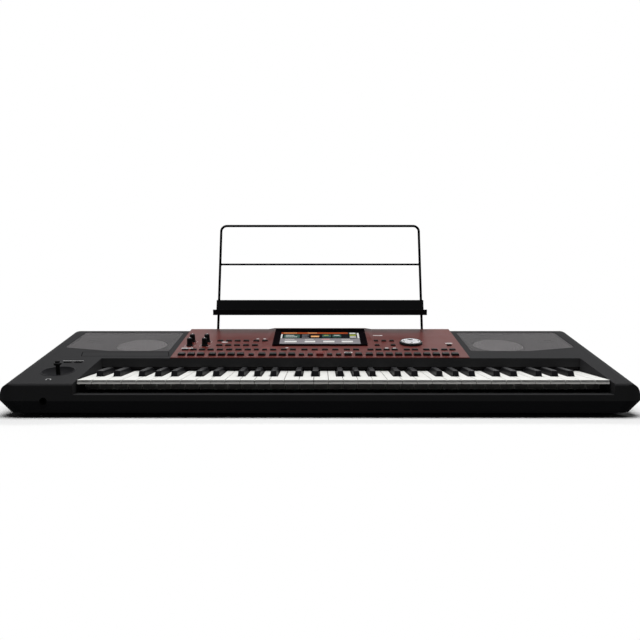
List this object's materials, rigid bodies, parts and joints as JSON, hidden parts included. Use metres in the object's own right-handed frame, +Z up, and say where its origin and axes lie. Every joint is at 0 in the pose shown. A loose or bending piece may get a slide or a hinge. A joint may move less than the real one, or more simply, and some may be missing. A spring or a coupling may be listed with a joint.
{
  "type": "arranger keyboard",
  "caption": "Portable electronic keyboard with full-size piano keys, a sloped panel of buttons and knobs around a touch display, built-in speakers, a joystick and a lift-out wire music stand.",
  "frame": {"origin": "under the middle of the bounding box, on the plane that the feet stand on", "axes": "+X to the player's right along the keys, +Y away from the player, +Z up"},
  "size_m": [1.03, 0.4318, 0.3447],
  "materials": {
    "case_black": "fine grained moulding",
    "case_lower": "fine grained moulding",
    "panel_burgundy": "semi-gloss paint",
    "key_white": "polished",
    "key_black": "satin",
    "grille_grey": "perforated, satin",
    "glass": "gloss",
    "bezel_black": "gloss",
    "button_black": "satin",
    "button_red": "satin",
    "dial_silver": "satin metallic",
    "wire_black": "satin powder coat",
    "steel": "plain",
    "frame_steel": "zinc passivated",
    "cone_paper": "pressed pulp",
    "felt": "felt",
    "rubber": "plain",
    "rubber_grey": "silicone",
    "board_green": "solder mask",
    "socket_black": "plain",
    "jack_metal": "bright",
    "screen": "lit screen",
    "frame_plastic": "plain"
  },
  "bodies": {
    "case": {"audio_jacks": "socket_black", "bottom_case": "case_lower", "case_screws": "steel", "control_panel": "panel_burgundy", "display_bezel": "bezel_black", "display_glass": "glass", "display_module": "screen", "headphone_jack": "socket_black", "joystick_bowl": "button_black", "joystick_bracket": "frame_steel", "key_contact_board": "board_green", "key_contact_rubber": "rubber_grey", "key_frame": "frame_steel", "key_pivot_rod": "steel", "key_return_springs": "steel", "key_stop_felt": "felt", "main_board": "board_green", "midi_sockets": "socket_black", "panel_board": "board_green", "power_inlet": "socket_black", "power_supply": "frame_plastic", "rear_panel": "case_black", "rubber_feet": "rubber", "speaker_grilles": "grille_grey", "stand_sockets": "socket_black", "top_case": "case_black", "tweeters": "socket_black", "usb_ports": "jack_metal", "woofer_cones": "cone_paper", "woofers": "frame_steel"},
    "keys_c": {"keys_c": "key_white"},
    "keys_c_sharp": {"keys_c_sharp": "key_black"},
    "keys_d": {"keys_d": "key_white"},
    "keys_d_sharp": {"keys_d_sharp": "key_black"},
    "keys_e": {"keys_e": "key_white"},
    "keys_f": {"keys_f": "key_white"},
    "keys_f_sharp": {"keys_f_sharp": "key_black"},
    "keys_g": {"keys_g": "key_white"},
    "keys_g_sharp": {"keys_g_sharp": "key_black"},
    "keys_a": {"keys_a": "key_white"},
    "keys_a_sharp": {"keys_a_sharp": "key_black"},
    "keys_b": {"keys_b": "key_white"},
    "joystick_gimbal": {"joystick_gimbal": "socket_black"},
    "joystick_stick": {"joystick_stick": "button_black"},
    "assign_switches": {"assign_switches": "button_black"},
    "knob_1": {"knob_1": "button_black"},
    "knob_2": {"knob_2": "button_black"},
    "knob_3": {"knob_3": "button_black"},
    "knob_4": {"knob_4": "button_black"},
    "data_dial": {"data_dial": "dial_silver"},
    "power_button": {"power_button": "button_black"},
    "pad_buttons": {"pad_buttons": "button_black"},
    "round_buttons": {"round_buttons": "button_black"},
    "start_button": {"start_button": "button_red"},
    "row_two_buttons": {"row_two_buttons": "button_black"},
    "style_buttons": {"style_buttons": "button_black"},
    "menu_buttons": {"menu_buttons": "button_black"},
    "music_stand": {"stand_frame": "wire_black", "stand_crossbar": "wire_black", "stand_ledge": "wire_black"}
  },
  "joints": [
    {"name": "keys_c_press", "type": "hinge", "parent": "case", "child": "keys_c", "pos_m": [0, -0.00147, 0.05], "axis": [1, 0, 0], "range_deg": [0, 2.85], "stiffness_Nm_per_rad": 2, "springref_deg": -8.59},
    {"name": "keys_c_sharp_press", "type": "hinge", "parent": "case", "child": "keys_c_sharp", "pos_m": [0, -0.00147, 0.05], "axis": [1, 0, 0], "range_deg": [0, 2.85], "stiffness_Nm_per_rad": 2, "springref_deg": -8.59},
    {"name": "keys_d_press", "type": "hinge", "parent": "case", "child": "keys_d", "pos_m": [0, -0.00147, 0.05], "axis": [1, 0, 0], "range_deg": [0, 2.85], "stiffness_Nm_per_rad": 2, "springref_deg": -8.59},
    {"name": "keys_d_sharp_press", "type": "hinge", "parent": "case", "child": "keys_d_sharp", "pos_m": [0, -0.00147, 0.05], "axis": [1, 0, 0], "range_deg": [0, 2.85], "stiffness_Nm_per_rad": 2, "springref_deg": -8.59},
    {"name": "keys_e_press", "type": "hinge", "parent": "case", "child": "keys_e", "pos_m": [0, -0.00147, 0.05], "axis": [1, 0, 0], "range_deg": [0, 2.85], "stiffness_Nm_per_rad": 2, "springref_deg": -8.59},
    {"name": "keys_f_press", "type": "hinge", "parent": "case", "child": "keys_f", "pos_m": [0, -0.00147, 0.05], "axis": [1, 0, 0], "range_deg": [0, 2.85], "stiffness_Nm_per_rad": 2, "springref_deg": -8.59},
    {"name": "keys_f_sharp_press", "type": "hinge", "parent": "case", "child": "keys_f_sharp", "pos_m": [0, -0.00147, 0.05], "axis": [1, 0, 0], "range_deg": [0, 2.85], "stiffness_Nm_per_rad": 2, "springref_deg": -8.59},
    {"name": "keys_g_press", "type": "hinge", "parent": "case", "child": "keys_g", "pos_m": [0, -0.00147, 0.05], "axis": [1, 0, 0], "range_deg": [0, 2.85], "stiffness_Nm_per_rad": 2, "springref_deg": -8.59},
    {"name": "keys_g_sharp_press", "type": "hinge", "parent": "case", "child": "keys_g_sharp", "pos_m": [0, -0.00147, 0.05], "axis": [1, 0, 0], "range_deg": [0, 2.85], "stiffness_Nm_per_rad": 2, "springref_deg": -8.59},
    {"name": "keys_a_press", "type": "hinge", "parent": "case", "child": "keys_a", "pos_m": [0, -0.00147, 0.05], "axis": [1, 0, 0], "range_deg": [0, 2.85], "stiffness_Nm_per_rad": 2, "springref_deg": -8.59},
    {"name": "keys_a_sharp_press", "type": "hinge", "parent": "case", "child": "keys_a_sharp", "pos_m": [0, -0.00147, 0.05], "axis": [1, 0, 0], "range_deg": [0, 2.85], "stiffness_Nm_per_rad": 2, "springref_deg": -8.59},
    {"name": "keys_b_press", "type": "hinge", "parent": "case", "child": "keys_b", "pos_m": [0, -0.00147, 0.05], "axis": [1, 0, 0], "range_deg": [0, 2.85], "stiffness_Nm_per_rad": 2, "springref_deg": -8.59},
    {"name": "pad_buttons_press", "type": "slide", "parent": "case", "child": "pad_buttons", "axis": [0, 0.1887, -0.982], "range_m": [0, 0.001], "stiffness_N_per_m": 400, "springref_m": -0.002},
    {"name": "round_buttons_press", "type": "slide", "parent": "case", "child": "round_buttons", "axis": [0, 0.1887, -0.982], "range_m": [0, 0.001], "stiffness_N_per_m": 400, "springref_m": -0.002},
    {"name": "start_button_press", "type": "slide", "parent": "case", "child": "start_button", "axis": [0, 0.1887, -0.982], "range_m": [0, 0.001], "stiffness_N_per_m": 400, "springref_m": -0.002},
    {"name": "row_two_buttons_press", "type": "slide", "parent": "case", "child": "row_two_buttons", "axis": [0, 0.1887, -0.982], "range_m": [0, 0.001], "stiffness_N_per_m": 400, "springref_m": -0.002},
    {"name": "style_buttons_press", "type": "slide", "parent": "case", "child": "style_buttons", "axis": [0, 0.1887, -0.982], "range_m": [0, 0.001], "stiffness_N_per_m": 400, "springref_m": -0.002},
    {"name": "menu_buttons_press", "type": "slide", "parent": "case", "child": "menu_buttons", "axis": [0, 0.1887, -0.982], "range_m": [0, 0.001], "stiffness_N_per_m": 400, "springref_m": -0.002},
    {"name": "assign_switches_press", "type": "slide", "parent": "case", "child": "assign_switches", "axis": [0, 0.1771, -0.9842], "range_m": [0, 0.001], "stiffness_N_per_m": 400, "springref_m": -0.002},
    {"name": "knob_1_turn", "type": "hinge", "parent": "case", "child": "knob_1", "pos_m": [-0.24506, 0.01607, 0.09813], "axis": [0, -0.1887, 0.982], "range_deg": [-150, 150]},
    {"name": "knob_2_turn", "type": "hinge", "parent": "case", "child": "knob_2", "pos_m": [-0.217, 0.01607, 0.09813], "axis": [0, -0.1887, 0.982], "range_deg": [-150, 150]},
    {"name": "knob_3_turn", "type": "hinge", "parent": "case", "child": "knob_3", "pos_m": [-0.24506, 0.04553, 0.10379], "axis": [0, -0.1887, 0.982], "range_deg": [-150, 150]},
    {"name": "knob_4_turn", "type": "hinge", "parent": "case", "child": "knob_4", "pos_m": [-0.217, 0.04553, 0.10379], "axis": [0, -0.1887, 0.982], "range_deg": [-150, 150]},
    {"name": "data_dial_turn", "type": "hinge", "parent": "case", "child": "data_dial", "pos_m": [0.17306, 0.03227, 0.10125], "axis": [0, -0.1887, 0.982], "continuous": true},
    {"name": "joystick_left_right", "type": "hinge", "parent": "case", "child": "joystick_gimbal", "pos_m": [-0.4353, -0.13977, 0.04324], "axis": [0, 0.9842, 0.1771], "range_deg": [-18, 18], "stiffness_Nm_per_rad": 0.3},
    {"name": "joystick_fore_aft", "type": "hinge", "parent": "joystick_gimbal", "child": "joystick_stick", "pos_m": [-0.4353, -0.13977, 0.04324], "axis": [1, 0, 0], "range_deg": [-18, 18], "stiffness_Nm_per_rad": 0.3},
    {"name": "power_button_press", "type": "slide", "parent": "case", "child": "power_button", "axis": [0, -1, 0], "range_m": [0, 0.002], "stiffness_N_per_m": 400, "springref_m": -0.002},
    {"name": "music_stand_lift", "type": "slide", "parent": "case", "child": "music_stand", "axis": [0, 0.2504, 0.9681], "range_m": [0, 0.06]}
  ]
}
